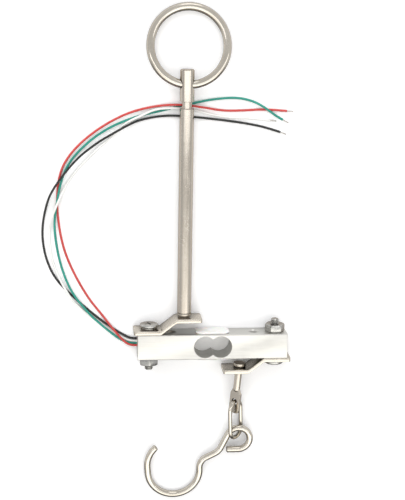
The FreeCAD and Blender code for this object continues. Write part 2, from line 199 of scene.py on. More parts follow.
def apply_modifiers(piece: Piece) -> None:
    """Applies every modifier of a piece, in order.

    Args:
        piece: The mesh object with the modifiers.
    """
    take_only(piece)
    for modifier in list(piece.modifiers):
        bpy.ops.object.modifier_apply(modifier=modifier.name)


def settle(piece: Piece) -> None:
    """Puts a piece's place into its mesh and leaves the object at the origin."""
    take_only(piece)
    bpy.ops.object.transform_apply(location=True, rotation=True, scale=True)


def smooth(piece: Piece, sharp_deg: float = SMOOTH_DEG) -> None:
    """Shades a piece smooth, apart from edges sharper than an angle."""
    take_only(piece)
    bpy.ops.object.shade_smooth_by_angle(angle=math.radians(sharp_deg))


def ease_edges(piece: Piece, width: float, steps: int, sharp_deg: float) -> None:
    """Adds a modifier that eases a piece's sharp edges.

    Args:
        piece: The mesh object to ease.
        width: Width of the eased edge, in the piece's units.
        steps: Steps across the eased edge.
        sharp_deg: Edges sharper than this are eased.
    """
    ease = piece.modifiers.new("ease", "BEVEL")
    ease.width = width
    ease.segments = steps
    ease.limit_method = "ANGLE"
    ease.angle_limit = math.radians(sharp_deg)


def close_up(piece: Piece, merge: float) -> None:
    """Merges doubled vertices, closes holes and turns every face outwards.

    Args:
        piece: The mesh object to close.
        merge: Vertices nearer than this become one, in the piece's units.
    """
    with shaping(piece):
        bpy.ops.mesh.remove_doubles(threshold=merge)
        bpy.ops.mesh.select_all(action="SELECT")
        bpy.ops.mesh.fill_holes(sides=0)
        bpy.ops.mesh.select_all(action="SELECT")
        bpy.ops.mesh.normals_make_consistent(inside=False)


def work(piece: Piece, tool: Piece, tooling: Tooling) -> None:
    """Cuts, trims or extends a piece with a tool body, and removes the tool.

    Args:
        piece: The mesh object that stays.
        tool: The mesh object that acts on it.
        tooling: What the tool does.
    """
    modifier = piece.modifiers.new("tool", "BOOLEAN")
    modifier.operation = tooling.value
    modifier.solver = "EXACT"
    modifier.object = tool
    apply_modifiers(piece)
    bpy.data.objects.remove(tool)


class NodeSheet:
    """A node tree that is filled node by node."""

    def __init__(self, tree: bpy.types.NodeTree) -> None:
        """Keeps the tree to fill."""
        self.tree = tree

    def add(self, kind: str, **settings: object) -> bpy.types.Node:
        """Adds a node and sets its properties.

        Args:
            kind: The node's type name.
            **settings: Properties of the node and their values.

        Returns:
            The new node.
        """
        node = self.tree.nodes.new(kind)
        for name, value in settings.items():
            setattr(node, name, value)
        return node

    def put(self, socket: Socket, value: object) -> None:
        """Links an output to an input, or sets a plain value there.

        Args:
            socket: The input.
            value: An output to link, or a number, vector or colour to set.
        """
        if isinstance(value, Socket):
            self.tree.links.new(value, socket)
        elif socket.type == "RGBA":
            socket.default_value = (*value, 1.0)
        else:
            socket.default_value = value

    def feed(self, node: bpy.types.Node, **inputs: object) -> bpy.types.Node:
        """Feeds a node's inputs by name, with _ for a space.

        Args:
            node: The node whose inputs are fed.
            **inputs: An output to link or a plain value for each input.

        Returns:
            The same node.
        """
        for name, value in inputs.items():
            self.put(node.inputs[name.replace("_", " ")], value)
        return node

    def fill(self, kind: str, *values: object, **settings: object) -> bpy.types.Node:
        """Adds a node and feeds its inputs in order.

        Args:
            kind: The node's type name.
            *values: An output to link or a plain value for each input.
            **settings: Properties of the node and their values.

        Returns:
            The new node.
        """
        node = self.add(kind, **settings)
        for socket, value in zip(node.inputs, values):
            self.put(socket, value)
        return node

    def math(self, operation: str, *values: object) -> Socket:
        """Adds a Math node on sockets or numbers."""
        return self.fill("ShaderNodeMath", *values, operation=operation).outputs[0]

    def product(self, *factors: object) -> Socket:
        """Multiplies sockets and numbers.

        Args:
            *factors: The factors, of which the first is a socket.

        Returns:
            The socket with the product.
        """
        result = factors[0]
        for factor in factors[1:]:
            result = self.math("MULTIPLY", result, factor)
        return result

    def fade(self, mask: object, first: object, second: object) -> Socket:
        """Goes from a first value to a second one by a mask."""
        return self.math("MULTIPLY_ADD", mask, self.math("SUBTRACT", second, first), first)

    def spread(self, value: Socket, low: float, high: float,
               to_low: float = 0.0, to_high: float = 1.0) -> Socket:
        """Maps a range of values smoothly to another range.

        Args:
            value: The socket to map.
            low: Start of the range.
            high: End of the range.
            to_low: Value at the start.
            to_high: Value at the end.

        Returns:
            The socket with the mapped value.
        """
        node = self.add("ShaderNodeMapRange", interpolation_type="SMOOTHSTEP")
        self.feed(node, Value=value, From_Min=low, From_Max=high, To_Min=to_low, To_Max=to_high)
        return node.outputs["Result"]

    def blend(self, mask: object, first: object, second: object) -> Socket:
        """Blends two colours by a mask.

        Args:
            mask: Socket or number, 0 for the first colour and 1 for the second.
            first: Socket or colour.
            second: Socket or colour.

        Returns:
            The socket with the blended colour.
        """
        node = self.add("ShaderNodeMix", data_type="RGBA")
        for index, value in ((0, mask), (6, first), (7, second)):
            self.put(node.inputs[index], value)
        return node.outputs[2]

    def noise(self, place: object, scale: object, **inputs: object) -> bpy.types.Node:
        """Adds a noise texture."""
        return self.feed(self.add("ShaderNodeTexNoise"), Vector=place, Scale=scale, **inputs)

    def bump(self, **inputs: object) -> Socket:
        """Adds a bump and gives its normal."""
        return self.feed(self.add("ShaderNodeBump"), **inputs).outputs["Normal"]

    def openness(self, reach: object) -> Socket:
        """Adds a measure of how open a place is, 0 in a tight corner and 1 in the open."""
        node = self.add("ShaderNodeAmbientOcclusion", samples=OPENNESS_SAMPLES)
        return self.feed(node, Distance=reach).outputs["AO"]

    def group(self, tree: bpy.types.NodeTree, **inputs: object) -> bpy.types.NodeOutputs:
        """Places a shared effect and gives its outputs."""
        return self.feed(self.add("ShaderNodeGroup", node_tree=tree), **inputs).outputs


def effect(name: str, inputs: dict[str, str], outputs: dict[str, str]
           ) -> tuple[NodeSheet, bpy.types.NodeOutputs, bpy.types.Node]:
    """Starts the node group of an effect that several finishes share.

    Args:
        name: The group's name.
        inputs: Socket type of each input.
        outputs: Socket type of each output.

    Returns:
        The sheet to fill, what the group is given, and the node for its results.
    """
    tree = bpy.data.node_groups.new(name, "ShaderNodeTree")
    for way, sockets in (("INPUT", inputs), ("OUTPUT", outputs)):
        for label, kind in sockets.items():
            tree.interface.new_socket(label, in_out=way, socket_type=kind)
    sheet = NodeSheet(tree)
    return sheet, sheet.add("NodeGroupInput").outputs, sheet.add("NodeGroupOutput")


@cache
def tool_marks() -> bpy.types.NodeTree:
    """Builds fine parallel marks left by a tool, drawn out along one way.

    Returns:
        The group.
    """
    sheet, given, result = effect("tool_marks", {**PATTERN, "Grain": VECTOR},
                                  {**MASK, "Height": FLOAT})
    drawn = sheet.fill("ShaderNodeVectorMath", given["Vector"], given["Grain"],
                       operation="MULTIPLY").outputs[0]
    fine = sheet.noise(drawn, given["Scale"], Detail=3.0, Roughness=0.6)
    broad = sheet.noise(drawn, sheet.product(given["Scale"], BROAD_MARKS_SCALE), Detail=2.0,
                        Roughness=0.5)
    both = sheet.math("ADD", sheet.product(fine.outputs["Fac"], FINE_MARKS_SHARE),
                      sheet.product(broad.outputs["Fac"], 1.0 - FINE_MARKS_SHARE))
    sheet.feed(result, Height=both, Mask=sheet.spread(both, *MARKS_LIMITS))
    return sheet.tree


@cache
def cloudiness() -> bpy.types.NodeTree:
    """Builds soft uneven patches, as on handled or unevenly plated metal.

    Returns:
        The group.
    """
    sheet, given, result = effect("cloudiness", PATTERN, MASK)
    soft = sheet.noise(given["Vector"], given["Scale"], Detail=4.0, Roughness=0.55, Distortion=0.4)
    sheet.feed(result, Mask=sheet.spread(soft.outputs["Fac"], *CLOUD_LIMITS))
    return sheet.tree


@cache
def edge_wear() -> bpy.types.NodeTree:
    """Builds a mask of the edges and a normal that rounds them.

    Returns:
        The group.
    """
    sheet, given, result = effect("edge_wear", {"Radius": FLOAT}, {**MASK, "Normal": VECTOR})
    rounded = sheet.feed(sheet.add("ShaderNodeBevel", samples=EDGE_SAMPLES),
                         Radius=given["Radius"]).outputs["Normal"]
    surface = sheet.add("ShaderNodeNewGeometry").outputs["Normal"]
    together = sheet.fill("ShaderNodeVectorMath", rounded, surface, operation="DOT_PRODUCT")
    sheet.feed(result, Mask=sheet.spread(together.outputs["Value"], *EDGE_LIMITS), Normal=rounded)
    return sheet.tree


@cache
def scuffs() -> bpy.types.NodeTree:
    """Builds sparse short scuffs and specks from handling.

    Returns:
        The group.
    """
    sheet, given, result = effect("scuffs", PATTERN, MASK)
    bent = sheet.noise(given["Vector"], given["Scale"], Detail=2.0, Roughness=0.5)
    moved = sheet.fill("ShaderNodeVectorMath", bent.outputs["Color"], (SCUFF_BEND_M,) * 3,
                       given["Vector"], operation="MULTIPLY_ADD")
    specks = sheet.feed(sheet.add("ShaderNodeTexVoronoi", feature="DISTANCE_TO_EDGE"),
                        Vector=moved.outputs[0], Scale=given["Scale"])
    here = sheet.noise(given["Vector"], sheet.product(given["Scale"], SPARSE_SCALE), Detail=1.0)
    sheet.feed(result, Mask=sheet.product(
        sheet.spread(specks.outputs["Distance"], *SPECK_LIMITS),
        sheet.spread(here.outputs["Fac"], *SPARSE_LIMITS)))
    return sheet.tree


@cache
def corner_shade() -> bpy.types.NodeTree:
    """Builds a mask of the tight corners and close gaps, where shade is painted into the colour.

    Returns:
        The group.
    """
    sheet, given, result = effect("corner_shade", {"Distance": FLOAT}, MASK)
    sheet.feed(result, Mask=sheet.spread(sheet.openness(given["Distance"]), *CORNER_SHADE_LIMITS))
    return sheet.tree


class Finish:
    """A surface finish that makes one material."""

    name: str

    def material(self) -> bpy.types.Material:
        """Builds the material, once."""
        raise NotImplementedError

    def start(self) -> tuple[bpy.types.Material, NodeSheet, bpy.types.Node, Socket]:
        """Starts an empty material with one Principled shader.

        Returns:
            The material, its node sheet, the shader node and the object coordinates.
        """
        material = bpy.data.materials.new(self.name)
        material.use_nodes = True
        sheet = NodeSheet(material.node_tree)
        shader = next(n for n in material.node_tree.nodes if n.type == "BSDF_PRINCIPLED")
        return material, sheet, shader, sheet.add("ShaderNodeTexCoord").outputs["Object"]


@dataclass(frozen=True)
class BareMetal(Finish):
    """A plated or bare metal with fine marks, uneven tone, bright worn edges and shade painted into
    its tight corners.
    """

    name: str
    light: Colour
    dark: Colour
    roughness: tuple[float, float]
    grain: Grain
    marks_scale: float = 4000.0
    marks_height_m: float = 0.000002
    marks_strength: float = 0.6
    cloud_scale: float = 120.0
    cloud_gloss: float = 0.6
    scuff_scale: float = 260.0
    scuff_gloss: float = 0.12
    edge_radius_m: float = 0.0002
    edge_share: float = 0.5
    edge_lift: float = 1.12
    edge_tint: Colour = (0.55, 0.50, 0.45)
    streaks: float = 0.35
    # share, tone and reach of the shade painted into tight corners and near the bench
    corner_shade_share: float = 0.7
    corner_shade_tone: float = 0.25
    corner_shade_reach_m: float = 0.006
    bore_gloss: float | None = None
    bore_mm: Point = (9.8, 5.8, 6.2)

    @cache
    def material(self) -> bpy.types.Material:
        """Builds the metal, once.

        Returns:
            The finished material.
        """
        material, sheet, shader, place = self.start()
        marks = sheet.group(tool_marks(), Vector=place, Scale=self.marks_scale,
                            Grain=self.grain.value)
        cloud = sheet.group(cloudiness(), Vector=place, Scale=self.cloud_scale)["Mask"]
        edge = sheet.group(edge_wear(), Radius=self.edge_radius_m)
        scuff = sheet.group(scuffs(), Vector=place, Scale=self.scuff_scale)["Mask"]
        tone = sheet.math("MULTIPLY_ADD", marks["Mask"], self.streaks,
                          sheet.math("MULTIPLY", cloud, 1.0 - self.streaks))
        colour = sheet.blend(tone, self.dark, self.light)
        bright = tuple(min(1.0, value * self.edge_lift) for value in self.light)
        colour = sheet.blend(sheet.product(edge["Mask"], self.edge_share), colour, bright)
        # painted shade: the colour darkens in tight corners, under parts and near the bench, where
        # shade falls
        if self.corner_shade_share:
            corner_shade_mask = sheet.group(corner_shade(), Distance=self.corner_shade_reach_m)["Mask"]
            dull = tuple(value * self.corner_shade_tone for value in self.dark)
            colour = sheet.blend(sheet.product(corner_shade_mask, self.corner_shade_share), colour, dull)
        low, high = self.roughness
        by_cloud = (high - low) * self.cloud_gloss
        gloss = sheet.math("MULTIPLY_ADD", cloud, by_cloud, low)
        gloss = sheet.math("MULTIPLY_ADD", marks["Mask"], high - low - by_cloud, gloss)
        gloss = sheet.math("MULTIPLY_ADD", scuff, self.scuff_gloss, gloss)
        if self.bore_gloss is not None:
            gloss = sheet.fade(self._inside(sheet, place), gloss, self.bore_gloss)
        normal = sheet.bump(Strength=self.marks_strength, Distance=self.marks_height_m,
                            Height=marks["Height"], Normal=edge["Normal"])
        sheet.feed(shader, Base_Color=colour, Metallic=1.0, Roughness=gloss, Normal=normal,
                   Specular_Tint=self.edge_tint)
        return material

    def _inside(self, sheet: NodeSheet, place: Socket) -> Socket:
        """Adds a mask of the drilled walls inside the bar.

        Args:
            sheet: The material's node sheet.
            place: The object coordinates.

        Returns:
            The socket with the mask.
        """
        at = sheet.fill("ShaderNodeSeparateXYZ", place).outputs
        middles = (0.0, 0.0, HALF_BAR_MM)
        return sheet.product(*(sheet.math("COMPARE", at[axis], middle * MM, half * MM)
                               for axis, middle, half in zip("XYZ", middles, self.bore_mm)))


@dataclass(frozen=True)
class SoftSkin(Finish):
    """A smeared silicone or drawn plastic with an uneven tone, a fine skin and scuffs."""

    name: str
    plain: Colour
    clouded: Colour
    cloud_scale: float = 180.0
    cloud_share: float = 0.5
    scuff_scale: float = 700.0
    scuff_share: float = 0.4
    skin_scale: float = 5200.0
    skin_detail: float = 2.0
    skin_height_m: float = 0.00001
    skin_strength: float = 0.4
    roughness: float = 0.36
    cloud_gloss: float = 0.12
    depth_share: float = 0.0
    depth_m: float = 0.0006

    @cache
    def material(self) -> bpy.types.Material:
        """Builds the silicone or plastic, once.

        Returns:
            The finished material.
        """
        material, sheet, shader, place = self.start()
        cloud = sheet.group(cloudiness(), Vector=place, Scale=self.cloud_scale)["Mask"]
        mask = sheet.product(cloud, self.cloud_share)
        if self.scuff_share:
            scuff = sheet.group(scuffs(), Vector=place, Scale=self.scuff_scale)["Mask"]
            mask = sheet.math("MULTIPLY_ADD", scuff, self.scuff_share, mask)
        skin = sheet.noise(place, self.skin_scale, Detail=self.skin_detail)
        sheet.feed(shader, Base_Color=sheet.blend(mask, self.plain, self.clouded),
                   Roughness=sheet.math("MULTIPLY_ADD", cloud, self.cloud_gloss, self.roughness),
                   Normal=sheet.bump(Strength=self.skin_strength, Distance=self.skin_height_m,
                                     Height=skin.outputs["Fac"]),
                   Subsurface_Weight=self.depth_share, Subsurface_Scale=self.depth_m)
        return material


@dataclass(frozen=True)
class GaugeFilm(Finish):
    """An amber film with the fine foil grid of a strain gauge."""

    name: str
    film: Colour
    foil: Colour
    film_shade: float = 0.8
    foil_metal: float = 0.9
    foil_height_m: float = 0.000005
    foil_strength: float = 0.4
    foil_limits: tuple[float, float] = (0.45, 0.6)
    grid_scale: float = 420.0
    cloud_scale: float = 400.0
    roughness: float = 0.35
    cloud_gloss: float = 0.1

    @cache
    def material(self) -> bpy.types.Material:
        """Builds the film, once.

        Returns:
            The finished material.
        """
        material, sheet, shader, place = self.start()
        cloud = sheet.group(cloudiness(), Vector=place, Scale=self.cloud_scale)["Mask"]
        grid = sheet.feed(sheet.add("ShaderNodeTexWave", bands_direction="Z"), Vector=place,
                          Scale=self.grid_scale, Distortion=0.0)
        lines = sheet.spread(grid.outputs["Fac"], *self.foil_limits)
        film = sheet.blend(cloud, self.film, tuple(value * self.film_shade for value in self.film))
        sheet.feed(shader, Base_Color=sheet.blend(lines, film, self.foil),
                   Metallic=sheet.product(lines, self.foil_metal),
                   Roughness=sheet.math("MULTIPLY_ADD", cloud, self.cloud_gloss, self.roughness),
                   Normal=sheet.bump(Strength=self.foil_strength, Distance=self.foil_height_m,
                                     Height=lines))
        return material


# plated_strip and bright_wire get the most painted shade in their tight corners
FINISHES: dict[str, Finish] = {finish.name: finish for finish in (
    BareMetal("machined_aluminium", (0.77, 0.762, 0.73), (0.68, 0.67, 0.635), (0.28, 0.46),
              Grain.ALONG_X, marks_scale=1500.0, cloud_scale=90.0, edge_radius_m=0.00025,
              streaks=0.6, corner_shade_share=0.0, edge_tint=(0.95, 0.95, 0.93), bore_gloss=0.62),
    BareMetal("plated_strip", (0.72, 0.67, 0.595), (0.62, 0.57, 0.495), (0.16, 0.32),
              Grain.ALONG_X, marks_scale=2200.0, cloud_scale=140.0, edge_radius_m=0.0003,
              streaks=0.55, edge_tint=(0.90, 0.87, 0.83), corner_shade_share=0.95),
    BareMetal("plated_fastener", (0.68, 0.675, 0.65), (0.46, 0.455, 0.44), (0.14, 0.28),
              Grain.AROUND_Y, cloud_scale=320.0),
    BareMetal("turned_nickel", (0.67, 0.615, 0.54), (0.58, 0.525, 0.45), (0.12, 0.22),
              Grain.ALONG_Y, marks_scale=1100.0, cloud_scale=60.0, streaks=0.6),
    BareMetal("bright_wire", (0.745, 0.695, 0.615), (0.65, 0.60, 0.52), (0.09, 0.20),
              Grain.EVEN, marks_scale=1500.0, cloud_scale=110.0,
              edge_tint=(0.22, 0.20, 0.18), corner_shade_share=0.8),
    SoftSkin("white_sealant", (0.88, 0.88, 0.85), (0.95, 0.95, 0.93), cloud_scale=260.0,
             cloud_share=1.0, scuff_share=0.0, skin_scale=900.0, skin_detail=3.0,
             skin_height_m=0.0001, skin_strength=0.5, roughness=0.38, cloud_gloss=0.14,
             depth_share=0.15),
    GaugeFilm("gauge_film", (0.55, 0.26, 0.05), (0.60, 0.55, 0.48)),
    SoftSkin("red_insulation", (0.56, 0.05, 0.045), (0.62, 0.09, 0.08)),
    SoftSkin("green_insulation", (0.014, 0.27, 0.205), (0.03, 0.33, 0.26)),
    SoftSkin("white_insulation", (0.90, 0.90, 0.88), (0.83, 0.83, 0.80)),
    SoftSkin("black_insulation", (0.012, 0.012, 0.012), (0.03, 0.03, 0.03)),
    BareMetal("tinned_copper", (0.80, 0.77, 0.72), (0.62, 0.58, 0.53), (0.22, 0.40),
              Grain.EVEN, marks_scale=6000.0, cloud_scale=900.0, edge_radius_m=0.00004),
)}


def dress(piece: Piece, slot: str) -> None:
    """Gives a piece the finish of one of the record's material slots."""
    piece.data.materials.clear()
    piece.data.materials.append(FINISHES[slot].material())


def dress_cad_nodes() -> None:
    """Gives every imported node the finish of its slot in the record."""
    for row in frame["record"]["subparts"]:
        dress(frame["nodes"][row["node"]], row["material_slot"])
        LOG.info("dressed %s as %s", row["node"], row["material_slot"])


def merged_copy(node: str, name: str) -> Piece:
    """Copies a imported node's mesh and merges its doubled vertices.

    Args:
        node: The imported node.
        name: Name of the copy.

    Returns:
        The copy, with its own mesh.
    """
    packed = frame["nodes"][node]
    mesh = packed.data.copy()
    mesh.name = name
    piece = placed(mesh)
    piece.matrix_world = packed.matrix_world.copy()
    settle(piece)
    with shaping(piece):
        bpy.ops.mesh.customdata_custom_splitnormals_clear()
        bpy.ops.mesh.remove_doubles(threshold=COPY_MERGE_M)
        bpy.ops.mesh.normals_make_consistent(inside=False)
    return piece


def stand_in(piece: Piece, node: str) -> None:
    """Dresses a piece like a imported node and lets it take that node's place.

    Args:
        piece: The new piece.
        node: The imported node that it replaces.
    """
    record = frame["record"]
    slot = next(row["material_slot"] for row in record["subparts"] if row["node"] == node)
    body = next(body.value for body in Body if node in record["behaviour"]["bodies"][body.value])
    dress(piece, slot)
    smooth(piece)
    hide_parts(node)
    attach(piece, body)


@dataclass(frozen=True)
class EasedPiece:
    """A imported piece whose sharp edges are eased, as after tumbling or deburring."""

    node: str
    name: str
    ease_mm: float
    steps: int = 3
    sharp_deg: float = 40.0
    sinks_mm: Sequence[Point] = ()
    sink_steps: int = 48
    sink_radii_mm: tuple[float, float] = (1.85, 3.05)
    sink_height_mm: float = 1.2
    sink_middle_mm: float = 0.45

    def build(self) -> None:
        """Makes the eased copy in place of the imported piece."""
        piece = merged_copy(self.node, self.name)
        with shaping(piece):
            bpy.ops.mesh.dissolve_limited(angle_limit=math.radians(FLAT_DEG))
        ease_edges(piece, self.ease_mm * MM, self.steps, self.sharp_deg)
        apply_modifiers(piece)
        for mouth_mm in self.sinks_mm:
            self._countersink(piece, mouth_mm)
        close_up(piece, CUT_MERGE_M)
        stand_in(piece, self.node)

    def _countersink(self, piece: Piece, mouth_mm: Point) -> None:
        """Cuts the shallow cone at the mouth of a tapped hole.

        Args:
            piece: The piece with the hole.
            mouth_mm: Middle of the hole's mouth, on an upper or lower face.
        """
        inner, outer = self.sink_radii_mm
        cone = fresh("sink", bpy.ops.mesh.primitive_cone_add, vertices=self.sink_steps,
                     radius1=inner * MM, radius2=outer * MM, depth=self.sink_height_mm * MM)
        x, y, z = mouth_mm
        side = math.copysign(1.0, y)
        set_in_place(cone, (x, y - side * self.sink_middle_mm, z), side, unit=1.0)
        work(piece, cone, Tooling.CUT)


def drawn_chain(points_mm: Sequence[tuple[float, float]], name: str) -> Piece:
    """Draws an open chain of vertices in the plane of X and Z, one unit for a millimetre.

    Args:
        points_mm: Reach along X and height along Z of each point.
        name: Name of the chain.

    Returns:
        The chain, ready to be wound about Z.
    """
    chain = fresh(name, bpy.ops.mesh.primitive_plane_add, size=1.0)
    with shaping(chain):
        bpy.ops.mesh.merge(type="CENTER")
        bpy.ops.transform.translate(value=(points_mm[0][0], 0.0, points_mm[0][1]))
        for (reach, height), (next_reach, next_height) in zip(points_mm, points_mm[1:]):
            step = (next_reach - reach, 0.0, next_height - height)
            bpy.ops.mesh.extrude_vertices_move(TRANSFORM_OT_translate={"value": step})
    return chain


def wound(chain: Piece, steps: int, rise: float = 0.0, turns: int = 1,
          angle: float = math.tau, merge: float = WIND_MERGE_MM) -> Piece:
    """Winds a chain about Z into a closed turned, threaded or twisted piece.

    Args:
        chain: The chain of vertices, which becomes the piece.
        steps: Steps of one winding.
        rise: Rise of one winding, 0 for a turned piece.
        turns: Number of windings.
        angle: Angle of one winding in radians.
        merge: Vertices nearer than this become one, in the piece's units.

    Returns:
        The closed piece.
    """
    wind = chain.modifiers.new("wind", "SCREW")
    wind.axis = "Z"
    wind.angle = angle
    wind.screw_offset = rise
    wind.iterations = turns
    wind.steps = wind.render_steps = steps
    wind.use_merge_vertices = True
    wind.merge_threshold = merge
    apply_modifiers(chain)
    close_up(chain, merge)
    return chain


def block(size_mm: Point, place_mm: Point, turn: Point) -> Piece:
    """Makes a plain cutting block, one unit for a millimetre.

    Args:
        size_mm: Size of the block.
        place_mm: Middle of the block.
        turn: Turn of the block in radians.

    Returns:
        The block.
    """
    cutter = fresh("cutter", bpy.ops.mesh.primitive_cube_add, size=1.0, location=place_mm,
                   rotation=turn)
    cutter.scale = size_mm
    settle(cutter)
    return cutter


def round_blank(name: str, radius_mm: float, length_mm: float, ease_mm: float = 0.0,
                middle_mm: float = 0.0) -> Piece:
    """Makes a round blank along Z, one unit for a millimetre.

    Args:
        name: Name of the blank.
        radius_mm: Radius of the blank.
        length_mm: Length of the blank.
        ease_mm: Size of the chamfer at both rims.
        middle_mm: Height of the blank's middle.

    Returns:
        The blank.
    """
    blank = fresh(name, bpy.ops.mesh.primitive_cylinder_add, vertices=ROUND_STEPS,
                  radius=radius_mm, depth=length_mm, location=(0.0, 0.0, middle_mm))
    settle(blank)
    if ease_mm:
        ease_edges(blank, ease_mm, 1, RIM_SHARP_DEG)
        apply_modifiers(blank)
    return blank


def set_in_place(piece: Piece, place_mm: Point, side: float, unit: float = MM) -> None:
    """Brings a piece that was shaped along Z to its place along Y.

    Args:
        piece: The shaped piece.
        place_mm: Place of the piece's origin.
        side: 1 when the piece's Z points to +Y, -1 when it points to -Y.
        unit: What one unit of the piece's shape is in metres.
    """
    piece.scale = (unit, unit, unit)
    piece.rotation_euler = (-side * math.pi / 2, 0.0, 0.0)
    piece.location = metres(place_mm)
    settle(piece)


@dataclass(frozen=True)
class ThreadForm:
    """The form of a machine-screw thread, for screws and tapped holes."""

    crest_mm: float
    root_mm: float
    pitch_mm: float = 0.79
    crest_share: float = 0.14
    root_share: float = 0.2
    steps: int = 32

    def bar(self, length_mm: float, name: str, middle_mm: float = 0.0) -> Piece:
        """Makes a threaded bar along Z, one unit for a millimetre.

        Args:
            length_mm: Length that is needed of the bar.
            name: Name of the bar.
            middle_mm: Height of the bar's middle.

        Returns:
            The closed bar, a turn longer than asked at each end.
        """
        turns = math.ceil(length_mm / self.pitch_mm) + 2
        flank = (1.0 - self.crest_share - self.root_share) / 2
        foot = middle_mm - turns * self.pitch_mm / 2
        heights = (0.0, flank, flank + self.crest_share, 1.0 - self.root_share, 1.0)
        reaches = (self.root_mm, self.crest_mm, self.crest_mm, self.root_mm, self.root_mm)
        points = [(reach, foot + height * self.pitch_mm) for reach, height in zip(reaches, heights)]
        return wound(drawn_chain(points, name), self.steps, self.pitch_mm, turns)


@dataclass(frozen=True)
class BracketScrew:
    """A bracket screw: recessed pan head, lock washer, shank and cut thread beyond the nut.

    Heights run from the bar's middle. The head's curve is given inwards from the rim and down
    from the top, and its underside inwards from the rim and up from the bottom.
    """

    node: str
    name: str
    x_mm: float
    side: float
    seat_mm: float = 8.35
    seat_gap_mm: float = 0.01
    top_mm: float = 10.95
    head_mm: float = 4.7
    head_height_mm: float = 1.25
    head_curve_mm: Sequence[tuple[float, float]] = (
        (0.85, 0.03), (0.42, 0.14), (0.14, 0.38), (0.02, 0.62), (0.0, 0.85))
    underside_mm: Sequence[tuple[float, float]] = ((0.08, 0.12), (0.25, 0.0))
    turned_steps: int = 72
    washer_mm: float = 3.95
    washer_ease_mm: float = 0.1
    groove_mm: float = 3.6
    groove_height_mm: float = 0.32
    split_mm: tuple[float, float] = (2.2, 0.45)
    split_place_mm: tuple[float, float] = (1.8, -3.12)
    split_lean_deg: float = 18.0
    split_turn_deg: float = -60.0
    recess_mm: Point = (4.4, 0.85, 0.9)
    recess_turn_deg: float = 20.0
    thread: ThreadForm = ThreadForm(crest_mm=2.085, root_mm=1.68)
    cut_mm: float = -9.4
    tip_mm: float = -12.85
    tip_ease_mm: float = 0.42
    crest_trim_mm: float = 0.003

    def build(self) -> None:
        """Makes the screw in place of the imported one."""
        screw = self._turned()
        recess = self._arm(self.recess_turn_deg)
        work(recess, self._arm(self.recess_turn_deg + 90.0), Tooling.FUSE)
        work(screw, recess, Tooling.CUT)
        if self._has_washer():
            work(screw, self._split(), Tooling.CUT)
        close_up(screw, CUT_MERGE_MM)
        stub = self._stub()
        take_only(screw)
        stub.select_set(True)
        bpy.ops.object.join()
        set_in_place(screw, (self.x_mm, 0.0, HALF_BAR_MM), self.side)
        stand_in(screw, self.node)

    def _washer_height(self) -> float:
        """Gives the height of the gap between the strip and the head."""
        return self.top_mm - self.head_height_mm - self.seat_mm

    def _has_washer(self) -> bool:
        """Tells whether the gap under the head holds a washer."""
        return self._washer_height() > self.groove_height_mm

    def _turned(self) -> Piece:
        """Turns the head, the washer under it and the shank.

        Returns:
            The turned piece, one unit for a millimetre.
        """
        top, rim, crest = self.top_mm, self.head_mm, self.thread.crest_mm
        under = top - self.head_height_mm
        points = [(0.0, top)]
        points += [(rim - inwards, top - down) for inwards, down in self.head_curve_mm]
        points += [(rim - inwards, under + up) for inwards, up in self.underside_mm]
        if self._has_washer():
            rest, seat = under - self.groove_height_mm, self.seat_mm + self.seat_gap_mm
            edge, ease = self.washer_mm, self.washer_ease_mm
            points += [(self.groove_mm, under), (self.groove_mm, rest), (edge - ease, rest),
                       (edge, rest - ease), (edge, seat + ease), (edge - ease, seat)]
        points += [(crest, points[-1][1]), (crest, self.cut_mm), (0.0, self.cut_mm)]
        return wound(drawn_chain(points, self.name), self.turned_steps)

    def _arm(self, turn_deg: float) -> Piece:
        """Makes the cutter of one arm of the cross recess."""
        length, width, depth = self.recess_mm
        return block((length, width, 2 * depth), (0.0, 0.0, self.top_mm),
                     (0.0, 0.0, math.radians(turn_deg)))

    def _split(self) -> Piece:
        """Makes the cutter of the lock washer's slanted gap."""
        height = self._washer_height()
        return block((*self.split_mm, height - self.washer_ease_mm),
                     (*self.split_place_mm, self.seat_mm + height / 2),
                     (math.radians(self.split_lean_deg), 0.0, math.radians(self.split_turn_deg)))

    def _stub(self) -> Piece:
        """Makes the threaded end of the shank.

        Returns:
            The threaded end, one unit for a millimetre.
        """
        length = self.cut_mm - self.tip_mm
        middle = (self.cut_mm + self.tip_mm) / 2
        stub = self.thread.bar(length, f"{self.name}_stub", middle)
        blank = round_blank("blank", self.thread.crest_mm - self.crest_trim_mm, length,
                            self.tip_ease_mm, middle)
        work(stub, blank, Tooling.TRIM)
        close_up(stub, CUT_MERGE_MM)
        return stub


@dataclass(frozen=True)
class TappedThread:
    """The cut thread inside one spare hole of the bar."""

    name: str
    x_mm: float
    depth_mm: float = 11.0
    wall_mm: float = 2.149
    thread: ThreadForm = ThreadForm(crest_mm=2.12, root_mm=1.74)

    def build(self) -> None:
        """Makes the threaded lining of the hole."""
        lining = round_blank(self.name, self.wall_mm, self.depth_mm)
        work(lining, self.thread.bar(self.depth_mm, "tap"), Tooling.CUT)
        close_up(lining, CUT_MERGE_MM)
        set_in_place(lining, (self.x_mm, 0.0, HALF_BAR_MM), 1.0)
        dress(lining, "machined_aluminium")
        smooth(lining)
        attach(lining, Body.LOAD_CELL.value)


